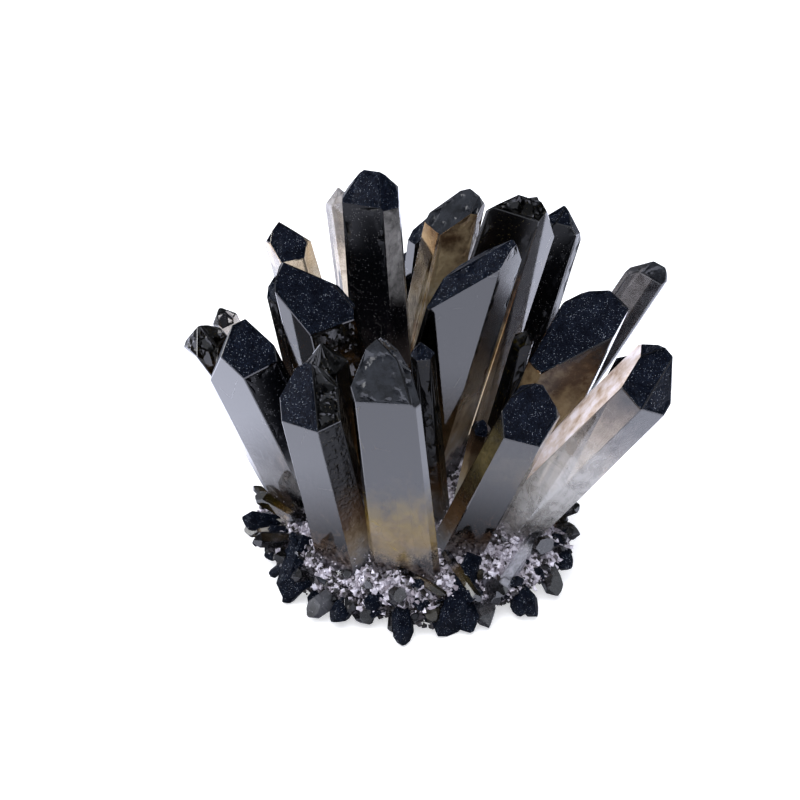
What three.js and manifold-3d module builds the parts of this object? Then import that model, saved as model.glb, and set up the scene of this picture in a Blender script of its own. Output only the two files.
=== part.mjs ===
// A smoky quartz cluster. Long six-sided crystals with oblique, pyramid-cut ends fan out from a lump of pale
// matrix rock, whose rim bristles with stubby young crystals. Millimetres, +Z up, its front towards -Y.

import * as THREE from 'three';
import { ConvexGeometry } from 'three/addons/geometries/ConvexGeometry.js';
import { mergeVertices } from 'three/addons/utils/BufferGeometryUtils.js';
import Module from 'manifold-3d';

const wasm = await Module();
wasm.setup();

// Quartz always grows to the same angles: six sides, and end faces whose normals stand this far off the long axis.
const SIDES = 6;
const END_FACE_ANGLE = THREE.MathUtils.degToRad(51.8);
const TAPER = THREE.MathUtils.degToRad(0.6);

// A crystal's root goes this far into the rock below its foot. Crystals that press on each other, and the rock
// round a root, stay this far apart.
const ROOT_DEPTH = 4;
const CLEARANCE = 0.3;

// The rock: the middle and half-widths of its outline, the height of its rim above the flat cut it rests on, the
// height of its crown above the rim and the depth of its underside below the rim before the cut.
const ROCK = { x: 1, y: -1.5, halfWidth: 39, halfDepth: 37.5, rim: 6, crown: 13, underside: 12 };
const CROWN_ROUNDNESS = 0.8;
const ROCK_DETAIL = 7;
const LUMP_HEIGHT = 1.2;

// The crust is heaped round the foot of the foremost crystal.
const MOUND = { x: -3, y: -37, radius: 9, height: 5 };

// The young crystals that ring the rim, besides those placed by hand below: how many, the heights of their feet,
// how long they are from there, how steeply they rise, how far out their feet are and their radii.
const RING_COUNT = 50;
const RING_HEIGHT = [3.5, 9.5];
const RING_LENGTH = [8, 14];
const RING_RISE = [-0.5, 0.9];
const RING_OUTNESS = 0.83;
const RING_RADIUS = [1, 2.1];

const UP = new THREE.Vector3(0, 0, 1);
const FRONT = new THREE.Vector3(0, -1, 0);

// The large crystals. foot is the x and y where the axis leaves the rock, and tip is where the axis ends, above
// the highest end face. sides are the distances of the six side faces from the axis, the first facing the front
// and the rest anticlockwise seen from the tip. turn rotates the first face from the front, in degrees. ends are
// how far below the tip each end face crosses the axis, in the same order, so the largest is the broadest face.
const CRYSTALS = [
  { name: 'crystal_front_centre', foot: [-2, -27.5], tip: [-8, -40, 83.5], turn: -11,
    sides: [8, 11.5, 5.5, 6, 3, 8.5], ends: [5.5, 2, 4, 0, 2.5, 0] },
  { name: 'crystal_front_left', foot: [-15.5, -24], tip: [-25.5, -36, 73.5], turn: 26,
    sides: [7.5, 7, 5.5, 5, 7.5, 6], ends: [6.5, 1.5, 0, 0, 0, 8.5] },
  { name: 'crystal_front_right', foot: [12, -21], tip: [30.5, -28, 63.5], turn: 7,
    sides: [6.5, 7, 8, 6.5, 5, 7.5], ends: [6.5, 0, 0, 0, 1, 0] },
  { name: 'crystal_far_right', foot: [25.5, -8.5], tip: [63.5, -18, 67.5], turn: -34,
    sides: [9.25, 9.5, 7.25, 6, 8, 6], ends: [3.5, 3, 3.5, 4, 0, 1] },
  { name: 'crystal_left', foot: [-25, -6.5], tip: [-48, -20.5, 80.5], turn: -43,
    sides: [3.75, 6.5, 10.5, 6.5, 8.5, 10], ends: [1, 12.5, 1, 0, 9, 13] },
  { name: 'crystal_far_left', foot: [-32, 9], tip: [-55, 5, 62.5], turn: -1,
    sides: [9, 6.5, 5.5, 6, 7.5, 4.25], ends: [1.5, 0, 0, 3.5, 0, 3] },
  { name: 'crystal_mid_right', foot: [3.5, -1], tip: [21, -12, 95.5], turn: 1,
    sides: [5.75, 4, 9.75, 7, 9, 13.5], ends: [0, 0, 0, 3.5, 6.5, 6.5] },
  { name: 'crystal_mid_left', foot: [-15, 7.5], tip: [-26.5, -7, 89], turn: 20,
    sides: [7.5, 10, 5.5, 7, 8, 7.5], ends: [12.5, 7.5, 9, 0, 0, 1.5] },
  { name: 'crystal_upper_left', foot: [-16, 15], tip: [-32, 12, 87], turn: 1,
    sides: [5.5, 6, 4.5, 5.5, 6, 5], ends: [3.5, 0, 2.5, 0, 0, 0] },
  { name: 'crystal_upper_right', foot: [9, 9.5], tip: [31, 8, 100], turn: -9,
    sides: [3.25, 4.25, 10, 7.75, 8.25, 10], ends: [7.5, 4, 5, 7, 3, 0] },
  { name: 'crystal_right', foot: [24.5, 2], tip: [51, -4, 91], turn: 8,
    sides: [9, 8.5, 4.5, 6.5, 7.25, 12], ends: [0, 0, 0, 15.5, 18, 24] },
  { name: 'crystal_right_behind', foot: [28.5, 15], tip: [62.5, 14, 74.5], turn: -8,
    sides: [2.75, 4, 3.25, 5, 5.5, 6.5], ends: [2.5, 0, 0, 1.5, 0, 0] },
  { name: 'crystal_tall', foot: [-5, 8], tip: [-10, 14, 101], turn: 29,
    sides: [7.75, 6.5, 6.5, 6.5, 8, 5.25], ends: [1.5, 0, 2.5, 0, 0, 4] },
  { name: 'crystal_slender', foot: [-9.5, 23.5], tip: [-18.5, 26, 88.5], turn: 3,
    sides: [3, 2.5, 2.5, 3.5, 4, 3.5], ends: [0, 0, 0, 0, 0, 0] },
  { name: 'crystal_back_right', foot: [1, 21.5], tip: [15, 20, 92.5], turn: 3,
    sides: [4.5, 4.25, 3.5, 7, 9.5, 7.5], ends: [1.5, 0, 1.5, 0, 0, 4.5] },
  { name: 'crystal_behind_tall', foot: [-1, 28], tip: [6, 36, 78.5], turn: -1,
    sides: [4.5, 4.5, 4.5, 5, 5, 6], ends: [0, 0, 0, 0, 1, 2] },
  { name: 'crystal_back_far_right', foot: [20, 22], tip: [39, 25, 84.5], turn: 0,
    sides: [4, 5.5, 6, 5, 5, 4.5], ends: [0, 0, 1.5, 0, 0, 0] },
  { name: 'crystal_brown', foot: [-13.5, -13], tip: [-21.5, -20, 69], turn: 0,
    sides: [5, 5, 5, 5, 5.5, 6], ends: [0, 0, 0, 0, 0, 0] },
  { name: 'crystal_dark_middle', foot: [6, -14], tip: [2, -22, 70.5], turn: 4,
    sides: [3, 3, 2.5, 2.5, 2.5, 3], ends: [0, 0, 0.5, 0, 0, 0] },
  { name: 'crystal_small_clear', foot: [12.5, -12.5], tip: [17, -18, 47], turn: 0,
    sides: [2.2, 2.2, 2.2, 2.2, 2.2, 2.2], ends: [1, 0, 0, 0, 0, 0] },
  { name: 'crystal_red_brown', foot: [17, -4], tip: [27.5, -6, 65], turn: 15,
    sides: [2.6, 2.6, 2.6, 2.6, 2.6, 2.6], ends: [0, 0, 0, 0, 0, 1] },
  { name: 'crystal_behind_left', foot: [-21.5, 6], tip: [-33, 3, 76], turn: 10,
    sides: [3.5, 3.5, 3.5, 3.5, 3.5, 3.5], ends: [2, 0, 0, 0, 0, 2] },
  { name: 'crystal_small_left', foot: [-29.5, 16.5], tip: [-48.5, 14, 61], turn: 15,
    sides: [3.2, 3.2, 3.2, 3.2, 3.2, 3.2], ends: [1, 0, 0, 0, 0, 0] },
  { name: 'crystal_small_right', foot: [35.5, 1], tip: [53, -4, 57], turn: 15,
    sides: [2.6, 2.6, 2.6, 2.6, 2.6, 2.6], ends: [1, 0, 0, 0, 0, 0] },
  { name: 'crystal_rear_far_left', foot: [-27, 18], tip: [-46, 30, 45], turn: 20,
    sides: [4.5, 4.5, 4.5, 4.5, 4.5, 4.5], ends: [0, 0, 1, 3, 0, 0] },
  { name: 'crystal_rear_left', foot: [-17.5, 25], tip: [-28, 45, 55], turn: 5,
    sides: [5, 5, 5, 5.5, 5, 5], ends: [0, 0, 1, 4, 0, 0] },
  { name: 'crystal_rear_centre', foot: [-1, 30], tip: [0, 52, 61], turn: 0,
    sides: [5, 5.5, 5, 5.5, 5, 5], ends: [0, 0, 0, 5, 2, 0] },
  { name: 'crystal_rear_right', foot: [16.5, 26.5], tip: [29, 48, 56], turn: -5,
    sides: [5, 5.5, 5.5, 5, 5, 5], ends: [0, 0, 4, 2, 0, 0] },
  { name: 'crystal_rear_far_right', foot: [29.5, 18], tip: [51, 35, 45], turn: 10,
    sides: [4.5, 4.5, 5, 4.5, 4.5, 4.5], ends: [0, 0, 3, 1, 0, 0] },
];

// Young crystals on the front of the rim, each from a point inside the rock to its tip, with its radius.
const FRONT_YOUNG = [
  { foot: [-29, -8, 12], tip: [-40.5, -2.5, 16], radius: 1.6 },
  { foot: [-29, -7, 9], tip: [-43.5, -9, 9], radius: 1.9 },
  { foot: [-28, -20, 9], tip: [-31.5, -30.5, 2], radius: 2.8 },
  { foot: [-26, -20, 8], tip: [-34.5, -19.5, 7], radius: 2.6 },
  { foot: [-19, -28, 8], tip: [-27, -25.5, 4], radius: 1.8 },
  { foot: [-17, -31, 6], tip: [-26.5, -36.5, 2], radius: 2.2 },
  { foot: [-14, -31, 6], tip: [-19.5, -40.5, 2], radius: 2.1 },
  { foot: [-15, -32, 6], tip: [-9.5, -40, 2], radius: 2.2 },
  { foot: [-3, -31, 7], tip: [-2, -48, 1.5], radius: 1.9 },
  { foot: [13, -29, 9], tip: [6.5, -45.5, 1.5], radius: 3.7 },
  { foot: [9, -28, 8], tip: [14.5, -43, 1.5], radius: 2.6 },
  { foot: [14, -27, 8], tip: [19.5, -41, 1.5], radius: 2.1 },
  { foot: [30, -16, 11], tip: [19, -33.5, 4], radius: 1.3 },
  { foot: [21, -24, 7], tip: [31.5, -36.5, 2], radius: 2.1 },
  { foot: [27, -24, 6], tip: [26, -37, 2], radius: 1.9 },
  { foot: [31, -17, 8], tip: [36.5, -29, 2.5], radius: 2 },
  { foot: [34, -8, 9], tip: [43.5, -11, 9.5], radius: 1.7 },
  { foot: [33, -14, 8], tip: [41, -20.5, 5], radius: 2 },
  { foot: [0, -27, 9], tip: [8.5, -33.5, 6.5], radius: 1 },
  { foot: [10, -26, 11], tip: [16.5, -35, 6], radius: 1.1 },
];

const vector = (xyz) => new THREE.Vector3(...xyz);

// How far out a point is on the rock's outline, squared: 0 in the middle and 1 on the rim.
const outness = (x, y) => ((x - ROCK.x) / ROCK.halfWidth) ** 2 + ((y - ROCK.y) / ROCK.halfDepth) ** 2;

// The height of the rock's smooth crown.
const rockTop = (x, y) => ROCK.rim + ROCK.crown * Math.max(0, 1 - outness(x, y)) ** CROWN_ROUNDNESS;

// A repeatable number between 0 and 1 for the i-th of many things, with a different series for each k.
function scatter(i, k) {
  const s = Math.sin(i * 12.9898 + k * 78.233) * 43758.5453;
  return s - Math.floor(s);
}

const between = ([low, high], share) => low + (high - low) * share;

// A crystal's own directions: its long axis, and the outward direction of each side face.
function directionsOf({ foot, tip, turn }) {
  const axis = vector(tip).sub(vector(foot)).normalize();
  const first = FRONT.clone().projectOnPlane(axis).normalize();
  const outward = Array.from({ length: SIDES }, (_, i) =>
    first.clone().applyAxisAngle(axis, THREE.MathUtils.degToRad(turn) + (i * 2 * Math.PI) / SIDES));
  return { axis, outward };
}

// The planes that bound a crystal, moved out by grow: six sides, six end faces and the cut across its root.
function planesOf(crystal, grow) {
  const { axis, outward } = directionsOf(crystal);
  const foot = vector(crystal.foot);
  const tip = vector(crystal.tip);
  const facing = (normal, point) => new THREE.Plane().setFromNormalAndCoplanarPoint(
    normal, point.clone().addScaledVector(normal, grow));
  const middle = foot.clone().lerp(tip, 0.5);
  const tilted = (direction, angleToAxis) =>
    axis.clone().multiplyScalar(Math.cos(angleToAxis)).addScaledVector(direction, Math.sin(angleToAxis));
  return [
    ...outward.map((n, i) => facing(
      tilted(n, Math.PI / 2 - TAPER), middle.clone().addScaledVector(n, crystal.sides[i]))),
    ...outward.map((n, i) => facing(
      tilted(n, END_FACE_ANGLE), tip.clone().addScaledVector(axis, -crystal.ends[i]))),
    facing(axis.clone().negate(), foot.clone().addScaledVector(axis, -ROOT_DEPTH)),
  ];
}

// The corners where three planes meet inside all the others.
function cornersOf(planes) {
  const corners = [];
  const m = new THREE.Matrix3();
  for (let a = 0; a < planes.length; a++)
    for (let b = a + 1; b < planes.length; b++)
      for (let c = b + 1; c < planes.length; c++) {
        const [p, q, r] = [planes[a], planes[b], planes[c]];
        m.set(...p.normal.toArray(), ...q.normal.toArray(), ...r.normal.toArray());
        if (Math.abs(m.determinant()) < 1e-6) continue;
        const corner = new THREE.Vector3(-p.constant, -q.constant, -r.constant).applyMatrix3(m.invert());
        const inside = planes.every((plane) => plane.distanceToPoint(corner) < 1e-6);
        if (inside && corners.every((other) => other.distanceTo(corner) > 1e-3)) corners.push(corner);
      }
  return corners;
}

// Geometry to a manifold solid and back.
function toSolid(geometry) {
  const bare = geometry.clone();
  bare.deleteAttribute('normal');
  bare.deleteAttribute('uv');
  const merged = mergeVertices(bare, 1e-4);
  return new wasm.Manifold(new wasm.Mesh({
    numProp: 3,
    vertProperties: new Float32Array(merged.attributes.position.array),
    triVerts: new Uint32Array(merged.index.array),
  }));
}

function toGeometry(solid) {
  const { vertProperties, triVerts } = solid.getMesh();
  const geometry = new THREE.BufferGeometry();
  geometry.setAttribute('position', new THREE.BufferAttribute(vertProperties, 3));
  geometry.setIndex(new THREE.BufferAttribute(triVerts, 1));
  geometry.computeVertexNormals();
  return geometry;
}

// Of the pieces that cuts leave, only the largest is kept.
const largestOf = (solid) => solid.decompose().reduce((a, b) => (a.volume() > b.volume() ? a : b));

const crystalSolid = (crystal, grow = 0) => toSolid(new ConvexGeometry(cornersOf(planesOf(crystal, grow))));

// A young crystal is regular: six nearly equal sides, with one end face broader than the rest.
function youngCrystal({ foot, tip, radius }, i) {
  const broadest = Math.floor(scatter(i, 5) * SIDES);
  return {
    foot,
    tip,
    turn: 60 * scatter(i, 6),
    sides: Array.from({ length: SIDES }, (_, k) => radius * (1 + 0.25 * scatter(i, 7 + k))),
    ends: Array.from({ length: SIDES }, (_, k) => (k === broadest ? 0.8 * radius : 0)),
  };
}

// The ring of young crystals round the rim, pointing out and up or down a little.
function ringOfYoung() {
  return Array.from({ length: RING_COUNT }, (_, i) => {
    const angle = ((i + 0.6 * scatter(i, 0)) / RING_COUNT) * 2 * Math.PI;
    const out = new THREE.Vector3(Math.cos(angle), Math.sin(angle), 0);
    const foot = new THREE.Vector3(
      ROCK.x + RING_OUTNESS * ROCK.halfWidth * out.x,
      ROCK.y + RING_OUTNESS * ROCK.halfDepth * out.y,
      between(RING_HEIGHT, scatter(i, 1)));
    const lean = out.addScaledVector(UP, between(RING_RISE, scatter(i, 2))).normalize();
    const tip = foot.clone().addScaledVector(lean, between(RING_LENGTH, scatter(i, 3)));
    return { foot: foot.toArray(), tip: tip.toArray(), radius: between(RING_RADIUS, scatter(i, 4)) };
  });
}

// The lumpy rock: a ball stretched to the outline, with its crown and underside at their own heights.
function rockGeometry() {
  const ball = new THREE.IcosahedronGeometry(1, ROCK_DETAIL);
  const position = ball.attributes.position;
  const p = new THREE.Vector3();
  for (let i = 0; i < position.count; i++) {
    p.fromBufferAttribute(position, i);
    const height = p.z > 0 ? ROCK.crown * (p.z * p.z) ** CROWN_ROUNDNESS : ROCK.underside * p.z;
    const lump = Math.sin(5.3 * p.x + 2 * p.z) * Math.sin(4.7 * p.y + 1)
      + 0.6 * Math.sin(11 * p.x - 9 * p.y + 7 * p.z)
      + 0.5 * Math.sin(13 * p.x + 17 * p.y + 2) * Math.cos(15 * p.z);
    const swell = 1 + (LUMP_HEIGHT * lump) / ROCK.halfWidth;
    p.set(ROCK.x + ROCK.halfWidth * swell * p.x, ROCK.y + ROCK.halfDepth * swell * p.y, ROCK.rim + height);
    const fromMound = Math.hypot(p.x - MOUND.x, p.y - MOUND.y) / MOUND.radius;
    const heaped = p.z > ROCK.rim ? MOUND.height * Math.exp(-(fromMound ** 2)) : 0;
    p.z += 0.6 * LUMP_HEIGHT * lump + heaped;
    position.setXYZ(i, p.x, p.y, p.z);
  }
  return ball;
}

// Everything below the flat cut that the cluster rests on.
function belowCut() {
  const reach = 200;
  const block = new THREE.BoxGeometry(reach, reach, reach);
  block.translate(0, 0, -reach / 2);
  return toSolid(block);
}

// Where two crystals press on each other, the later one is notched to clear the earlier one.
function largeCrystals() {
  const placed = CRYSTALS.map((c) => ({ ...c, foot: [...c.foot, rockTop(...c.foot)] }));
  return placed.map((crystal, i) => {
    const whole = crystalSolid(crystal);
    const notched = placed.slice(0, i).reduce(
      (solid, other) => solid.subtract(crystalSolid(other, CLEARANCE)), whole);
    return { ...crystal, solid: largestOf(notched) };
  });
}

// The rock with its young crystals fused on, sockets for the large crystals' roots and the flat cut below.
function matrixRock(crystals) {
  const young = [...FRONT_YOUNG, ...ringOfYoung()].map(youngCrystal).map((c) => crystalSolid(c));
  const grown = young.reduce((solid, one) => solid.add(one), toSolid(rockGeometry()));
  const socketed = crystals.reduce((solid, c) => solid.subtract(crystalSolid(c, CLEARANCE)), grown);
  return largestOf(socketed.subtract(belowCut()));
}

const smoky = new THREE.MeshStandardMaterial({ color: 0x2b2826, roughness: 0.08, metalness: 0 });
const paleRock = new THREE.MeshStandardMaterial({ color: 0xb9b4c0, roughness: 0.9, metalness: 0 });

function named(name, solid, material) {
  const mesh = new THREE.Mesh(toGeometry(solid), material.clone());
  mesh.name = name;
  return mesh;
}

const crystals = largeCrystals();
const cluster = new THREE.Group();
cluster.add(named('matrix_rock', matrixRock(crystals), paleRock));
for (const { name, solid } of crystals) cluster.add(named(name, solid, smoky));

// The origin is under the middle of the whole cluster, on the plane that it rests on.
const box = new THREE.Box3().setFromObject(cluster);
const middle = box.getCenter(new THREE.Vector3());
cluster.position.set(-middle.x, -middle.y, -box.min.z);

const object = new THREE.Group();
object.add(cluster);

export default object;
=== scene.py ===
# %% [markdown]
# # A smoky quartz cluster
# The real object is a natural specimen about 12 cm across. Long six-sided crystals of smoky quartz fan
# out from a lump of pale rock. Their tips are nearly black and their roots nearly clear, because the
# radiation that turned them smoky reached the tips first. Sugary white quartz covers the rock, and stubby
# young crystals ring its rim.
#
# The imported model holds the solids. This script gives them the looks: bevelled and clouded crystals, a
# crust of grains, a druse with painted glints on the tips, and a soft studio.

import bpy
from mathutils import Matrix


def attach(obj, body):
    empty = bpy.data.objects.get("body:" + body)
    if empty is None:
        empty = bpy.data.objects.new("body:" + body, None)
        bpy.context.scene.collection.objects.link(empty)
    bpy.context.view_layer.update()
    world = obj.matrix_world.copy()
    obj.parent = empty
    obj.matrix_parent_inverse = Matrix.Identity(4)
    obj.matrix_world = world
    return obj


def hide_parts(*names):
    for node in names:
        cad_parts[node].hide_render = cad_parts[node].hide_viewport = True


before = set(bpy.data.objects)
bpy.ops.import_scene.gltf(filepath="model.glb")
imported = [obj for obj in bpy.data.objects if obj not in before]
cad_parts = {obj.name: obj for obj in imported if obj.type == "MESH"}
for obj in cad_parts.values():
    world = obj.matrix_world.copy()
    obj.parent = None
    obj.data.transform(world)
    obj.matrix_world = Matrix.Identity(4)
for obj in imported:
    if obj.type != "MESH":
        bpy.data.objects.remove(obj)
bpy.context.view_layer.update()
print("nodes in the frame:", len(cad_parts))

# %% [markdown]
# ## Units
# Blender works in metres, but a crystal is easier to think of in millimetres, so each size below is
# written as so many times MM. The solids were drawn from the middle of the rock and then packed with the
# origin under the middle of the whole cluster's box, so places that come from the drawing are moved by
# the same amount.

# %% Imports and units
import math
from itertools import combinations

import bmesh
import bpy
import numpy as np
from mathutils import Matrix, Vector, noise
from mathutils.bvhtree import BVHTree
from mathutils.geometry import delaunay_2d_cdt, intersect_point_line

MM = 0.001
MOVED = Vector((-3.166, -2.402, 0)) * MM

# %% [markdown]
# ## The camera
# The photograph looks down on the cluster at about 30 degrees from some half a metre away, with a lens
# long enough to keep the crystals nearly parallel. Blender's own camera aims along its -Z, so it is
# turned with a tracking quaternion instead of angles worked out by hand.

# %% Camera at the photograph's place
CAMERA_DISTANCE = 480 * MM
CAMERA_HEIGHT_ANGLE = math.radians(30)
AIM = Vector((-3, 0, 42)) * MM + MOVED
SENSOR_WIDTH = 36
LENS = 86.4

camera = bpy.data.objects.new("camera", bpy.data.cameras.new("camera"))
bpy.context.scene.collection.objects.link(camera)
camera.data.sensor_width = SENSOR_WIDTH
camera.data.lens = LENS
camera.data.clip_start = 10 * MM
away = Vector((0, -math.cos(CAMERA_HEIGHT_ANGLE), math.sin(CAMERA_HEIGHT_ANGLE)))
camera.location = AIM + CAMERA_DISTANCE * away
camera.rotation_euler = (-away).to_track_quat("-Z", "Y").to_euler()
bpy.context.scene.camera = camera
print("camera at", [round(c / MM) for c in camera.location], "mm")

# %% [markdown]
# ## Nodes without the ceremony
# Every material is a small graph of nodes. One function adds a node, sets it up and links what should be
# linked, so that a material reads from top to bottom like a recipe. Another turns a colour as people
# write it, an sRGB hex value, into the linear numbers that light adds up in.

# %% One function for a node, one for a colour
def linear(hex_colour):
    """An sRGB colour such as 'c8c3cd' as linear red, green, blue and a full alpha."""
    parts = [int(hex_colour[i:i + 2], 16) / 255 for i in (0, 2, 4)]
    return [*(c / 12.92 if c <= 0.04045 else ((c + 0.055) / 1.055) ** 2.4 for c in parts), 1.0]


def node(tree, kind, settings=None, stops=(), **sockets):
    """Adds a node with its settings, its colour stops and its sockets.

    A socket goes by its name with _ for a space, or by i and its number. Its value is a number, a colour,
    an output, or a node, which stands for its first output.
    """
    made = tree.nodes.new("ShaderNode" + kind)
    for key, value in (settings or {}).items():
        setattr(made, key, value)
    if stops:
        elements = made.color_ramp.elements
        elements.remove(elements[1])
        elements[0].position, elements[0].color = stops[0][0], linear(stops[0][1])
        for position, colour in stops[1:]:
            elements.new(position).color = linear(colour)
    for key, value in sockets.items():
        socket = made.inputs[int(key[1:]) if key[1:].isdigit() else key.replace("_", " ")]
        if isinstance(value, bpy.types.Node):
            value = value.outputs[0]
        if isinstance(value, bpy.types.NodeSocket):
            tree.links.new(value, socket)
        else:
            socket.default_value = value
    return made


def material(name):
    """A new material with nothing in it, its node tree, and the coordinates that its patterns use."""
    made = bpy.data.materials.new(name)
    made.use_nodes = True
    made.node_tree.nodes.clear()
    return made, made.node_tree, node(made.node_tree, "TexCoord").outputs["Object"]


print("mid grey 'bababa' holds", round(linear("bababa")[0], 2), "of the light of white")

# %% [markdown]
# ## The studio's floor
# Product photographs of dark glassy stones are made over a white sweep that is lit until it burns out.
# The stone's faces then mirror a white floor and look grey, not black. Lighting the floor that much would
# wash out its shadows, so there are two sheets: the camera sees an ordinary white one, and only
# mirror-like faces see the burnt-out one just under it.
#
# Close to the cluster the real sweep lies in the shade of the crystals. The second sheet is dim there and
# reaches its full brightness a hand's breadth out, which makes each side face lighter towards its tip.

# %% Floor and reflector
FLOOR_RADIUS = 3.0
FLOOR_CORNERS = 96
SHADED_RADIUS = 42 * MM
LIT_RADIUS = 78 * MM
SHADED_BRIGHTNESS, LIT_BRIGHTNESS = 0.23, 3.5


def disc(name, radius, height, look):
    """A flat round sheet at a height, which belongs to the studio."""
    corners = [(radius * math.cos(a), radius * math.sin(a), height)
               for a in np.linspace(0, 2 * math.pi, FLOOR_CORNERS, endpoint=False)]
    mesh = bpy.data.meshes.new(name)
    mesh.from_pydata(corners, [], [range(len(corners))])
    mesh.materials.append(look)
    made = bpy.data.objects.new(name, mesh)
    bpy.context.scene.collection.objects.link(made)
    return made


# Uncoated seamless paper, matt from its fibres: a white without any gloss. Its faint glow keeps it white.
paper, tree, _ = material("white seamless paper")
shader = node(tree, "BsdfPrincipled", Base_Color=linear("f4f4f6"), Roughness=0.9,
              Emission_Color=(1, 1, 1, 1), Emission_Strength=0.4)
node(tree, "OutputMaterial", Surface=shader)
floor = disc("floor", FLOOR_RADIUS, height=0, look=paper)
floor.visible_glossy = False

glow, tree, place = material("burnt-out white of the sweep")
outness = node(tree, "VectorMath", {"operation": "LENGTH"}, i0=place).outputs["Value"]
strength = node(tree, "MapRange", {"interpolation_type": "SMOOTHSTEP"}, Value=outness,
                From_Min=SHADED_RADIUS, From_Max=LIT_RADIUS,
                To_Min=SHADED_BRIGHTNESS, To_Max=LIT_BRIGHTNESS)
shader = node(tree, "Emission", Color=linear("e8ecff"), Strength=strength)
node(tree, "OutputMaterial", Surface=shader)
reflector = disc("reflector", FLOOR_RADIUS, height=-0.2 * MM, look=glow)
for sense in ("camera", "diffuse", "transmission", "volume_scatter", "shadow"):
    setattr(reflector, "visible_" + sense, False)
print("floor of", 2 * FLOOR_RADIUS, "m, with its reflector")

# %% [markdown]
# ## Lights
# A wide softbox overhead lights the stone, and leaves no square glare on it because reflections don't see
# it. A small one at the left does the opposite: it shows as a soft gleam on the faces that turn its way.
# The room is bright at the horizon and dark above, as a studio is, so end faces that look up mirror a
# dark ceiling.

# %% Softboxes and room
HORIZON_BRIGHTNESS, CEILING_BRIGHTNESS = 1.45, 0.165


def softbox(name, place, size, watts, mirrored):
    """A square area light that looks at the cluster, seen in reflections only where mirrored is true."""
    light = bpy.data.objects.new(name, bpy.data.lights.new(name, "AREA"))
    bpy.context.scene.collection.objects.link(light)
    light.data.size = size
    light.data.energy = watts
    light.data.color = linear("fcfdff")[:3]
    light.location = place
    light.rotation_euler = (AIM - light.location).to_track_quat("-Z", "Y").to_euler()
    light.visible_camera = False
    light.visible_glossy = mirrored
    light.data.use_shadow = not mirrored
    return light


lights = [
    softbox("overhead softbox", Vector((-0.2, -0.2, 1.3)), size=1.8, watts=36, mirrored=False),
    softbox("left softbox", Vector((-1.2, -0.1, 0.5)), size=0.7, watts=9, mirrored=True),
]

world = bpy.data.worlds.new("room")
bpy.context.scene.world = world
world.use_nodes = True
tree = world.node_tree
tree.nodes.clear()
height = node(tree, "SeparateXYZ", Vector=node(tree, "TexCoord").outputs["Generated"]).outputs["Z"]
strength = node(tree, "MapRange", Value=height, From_Min=0.05, From_Max=0.75, To_Min=HORIZON_BRIGHTNESS,
                To_Max=CEILING_BRIGHTNESS)
room = node(tree, "Background", Color=linear("eef3ff"), Strength=strength)
node(tree, "OutputWorld", Surface=room)

# Light that crosses several crystals needs many bounces, or the stone turns black inside.
scene = bpy.context.scene
scene.view_settings.view_transform = "Standard"
scene.cycles.max_bounces = 24
scene.cycles.transmission_bounces = 20
scene.cycles.transparent_max_bounces = 12
scene.cycles.glossy_bounces = 8
print("lights:", [light.name for light in lights])

# %% [markdown]
# ## Finishing a piece
# Every piece of the cluster is a mesh that rides on the one rigid body, and it stands for the imported
# node that it was made over. Some pieces also carry numbers for their material to read, such as how far up
# a crystal a point is.

# %% One function that finishes a piece
def piece(name, mesh, looks, slot, *stands_for):
    """Makes an object of a mesh, with its materials, and ties it to the frame."""
    for look in looks:
        mesh.materials.append(look)
    made = bpy.data.objects.new(name, mesh)
    scene.collection.objects.link(made)
    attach(made, "root")
    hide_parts(*stands_for)
    return made


def give(mesh, name, values):
    """Stores one number for each point of a mesh, for its material to read."""
    layer = mesh.attributes.new(name, "FLOAT", "POINT")
    layer.data.foreach_set("value", np.asarray(values, dtype=np.float32))


CRYSTALS = sorted(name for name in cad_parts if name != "matrix_rock")
print("crystals to dress:", len(CRYSTALS))

# %% [markdown]
# ## Where each crystal points
# A crystal's colour runs along its long axis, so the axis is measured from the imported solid: the side
# faces of a crystal all stand along it. The direction that is square to every side face has the smallest
# spread of face normals. The first guess, the way in which the corners lie furthest apart, can be some
# degrees off where the root is cut aslant, so the side faces are picked again with less and less slack.

# %% Measure the crystals
SAME_CORNER = 0.002 * MM
SAME_FACE = math.radians(0.3)
# How far the cosine of a side face's lean may be from 0, in each round of picking.
AXIS_SLACKS = (0.25, 0.1, 0.04, 0.03)


def solid_of(name):
    """A packed crystal as a bmesh of whole flat faces."""
    bm = bmesh.new()
    bm.from_mesh(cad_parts[name].data)
    bmesh.ops.remove_doubles(bm, verts=bm.verts, dist=SAME_CORNER)
    bmesh.ops.dissolve_limit(bm, angle_limit=SAME_FACE, verts=bm.verts, edges=bm.edges)
    bm.normal_update()
    return bm


def axis_of(bm):
    """The long axis of a crystal, pointing up, from the directions and areas of its faces."""
    normals = np.array([f.normal for f in bm.faces])
    areas = np.array([f.calc_area() for f in bm.faces])
    points = np.array([v.co for v in bm.verts])
    axis = np.linalg.svd(points - points.mean(0))[2][0]
    for slack in AXIS_SLACKS:
        side = np.abs(normals @ axis) < slack
        spread = (normals[side] * areas[side, None]).T @ normals[side]
        axis = np.linalg.eigh(spread)[1][:, 0]
    return Vector(axis if axis[2] > 0 else -axis)


tall_axis = axis_of(solid_of("crystal_tall"))
print("the tall crystal leans", round(math.degrees(math.acos(tall_axis.z))), "degrees from upright")

# %% [markdown]
# ## The smoke
# Smoky quartz is silicon dioxide whose few aluminium atoms were coloured by natural radiation. The smoke
# is a tint all through the stone: none near the root, tea or grey further up, and black near the tip. A
# separate material for each crystal would repeat one recipe two dozen times. Here there is one, and it
# reads from each mesh how far up a point is and between which heights that crystal's smoke sets in.
#
# Clouds stir the height, so that the smoke ends in drifts instead of a straight line.

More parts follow.
